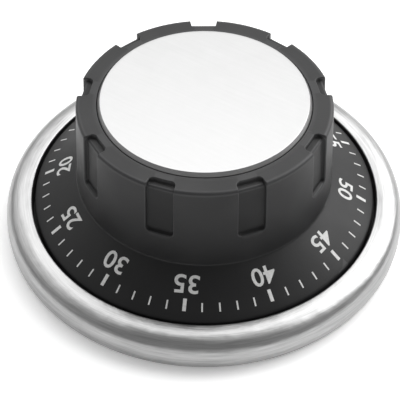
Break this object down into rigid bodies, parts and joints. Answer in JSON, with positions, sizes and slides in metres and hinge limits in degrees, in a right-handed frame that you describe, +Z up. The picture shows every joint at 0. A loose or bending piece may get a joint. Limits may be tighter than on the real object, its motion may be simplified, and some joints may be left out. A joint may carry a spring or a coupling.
{
  "type": "kitchen timer",
  "caption": "Round wind-up kitchen timer: steel ring on a flat base, sloping minute dial and tall finger-grip knob in one, steel cap, clockwork movement with bell inside.",
  "frame": {"origin": "centre of the resting face, under the knob's axis", "axes": "+Z up along the knob's axis, +Y towards the index mark and dial zero"},
  "size_m": [0.08, 0.08, 0.031],
  "materials": {
    "ring_steel": "circular brushed",
    "cap_steel": "fine satin",
    "knob_plastic": "satin moulded ABS",
    "base_plastic": "fine grained ABS",
    "ferrite": "sintered ferrite",
    "feet_rubber": "matt",
    "mark_paint": "printed enamel",
    "bell_steel": "nickel plated",
    "plate_brass": "rolled, satin",
    "wheel_brass": "stamped",
    "movement_steel": "turned",
    "spring_steel": "blued",
    "screw_steel": "zinc plated"
  },
  "bodies": {
    "base": {"bezel_ring": "ring_steel", "base_housing": "base_plastic", "back_cover": "base_plastic", "magnet_ring": "ferrite", "rubber_feet": "feet_rubber", "index_mark": "mark_paint", "movement_screws": "screw_steel", "bell": "bell_steel", "bell_screw": "screw_steel", "bottom_plate": "plate_brass", "top_plate": "plate_brass", "plate_pillars": "movement_steel", "plate_nuts": "screw_steel", "main_bushing": "plate_brass", "stop_pin": "movement_steel", "mainspring": "spring_steel", "spring_post": "movement_steel", "hairspring": "spring_steel", "hairspring_stud": "movement_steel", "hammer_stud": "movement_steel", "lever_stud": "movement_steel"},
    "dial": {"dial_knob": "knob_plastic", "knob_cap": "cap_steel", "hub_screw": "screw_steel", "main_arbor": "movement_steel", "great_wheel": "wheel_brass", "ratchet_wheel": "movement_steel", "release_cam": "movement_steel", "click_stud": "movement_steel", "click_spring": "spring_steel"},
    "click": {"click": "spring_steel"},
    "second_wheel": {"second_pinion": "movement_steel", "second_wheel": "wheel_brass"},
    "third_wheel": {"third_pinion": "movement_steel", "third_wheel": "wheel_brass", "strike_wheel": "movement_steel"},
    "escape_wheel": {"escape_pinion": "movement_steel", "escape_wheel": "wheel_brass"},
    "pallet": {"pallet_arbor": "movement_steel", "pallet_lever": "movement_steel", "pallet_pins": "movement_steel"},
    "balance": {"balance_staff": "movement_steel", "balance_wheel": "wheel_brass", "impulse_pin": "movement_steel"},
    "hammer": {"hammer_lever": "movement_steel", "hammer_head": "wheel_brass"},
    "release_lever": {"release_lever": "movement_steel"}
  },
  "joints": [
    {"name": "dial_turn", "type": "hinge", "parent": "base", "child": "dial", "pos_m": [0, 0, 0.017], "axis": [0, 0, 1], "range_deg": [-354.1, 0], "deforming": ["mainspring"]},
    {"name": "second_wheel_turn", "type": "hinge", "parent": "base", "child": "second_wheel", "pos_m": [0.01199, 0.00436, 0.017], "axis": [0, 0, 1], "range_deg": [0, 2478.8]},
    {"name": "third_wheel_turn", "type": "hinge", "parent": "base", "child": "third_wheel", "pos_m": [0.0062, 0.01115, 0.017], "axis": [0, 0, 1], "range_deg": [-14872.7, 0]},
    {"name": "escape_wheel_turn", "type": "hinge", "parent": "base", "child": "escape_wheel", "pos_m": [-0.00265, 0.01229, 0.017], "axis": [0, 0, 1], "range_deg": [0, 89235.2]},
    {"name": "pallet_rock", "type": "hinge", "parent": "base", "child": "pallet", "pos_m": [-0.00851, 0.00926, 0.017], "axis": [0, 0, 1], "range_deg": [-4, 4]},
    {"name": "balance_swing", "type": "hinge", "parent": "base", "child": "balance", "pos_m": [-0.01246, 0.00277, 0.017], "axis": [0, 0, 1], "range_deg": [-150, 150], "stiffness_Nm_per_rad": 0.000002, "deforming": ["hairspring"]},
    {"name": "hammer_swing", "type": "hinge", "parent": "base", "child": "hammer", "pos_m": [0.00188, 0.01764, 0.0105], "axis": [0, 0, -1], "range_deg": [-4.5, 4.5]},
    {"name": "release_lever_lift", "type": "hinge", "parent": "base", "child": "release_lever", "pos_m": [-0.0123, -0.00472, 0.019], "axis": [0, 0, -1], "range_deg": [0, 3]},
    {"name": "click_lift", "type": "hinge", "parent": "dial", "child": "click", "pos_m": [-0.00721, -0.00263, 0.0165], "axis": [0, 0, -1], "range_deg": [0, 7], "stiffness_Nm_per_rad": 0.00001, "deforming": ["click_spring"]}
  ],
  "couplings": [
    {"joint": "second_wheel_turn", "follows": "dial_turn", "ratio": -7},
    {"joint": "third_wheel_turn", "follows": "dial_turn", "ratio": 42},
    {"joint": "escape_wheel_turn", "follows": "dial_turn", "ratio": -252}
  ]
}
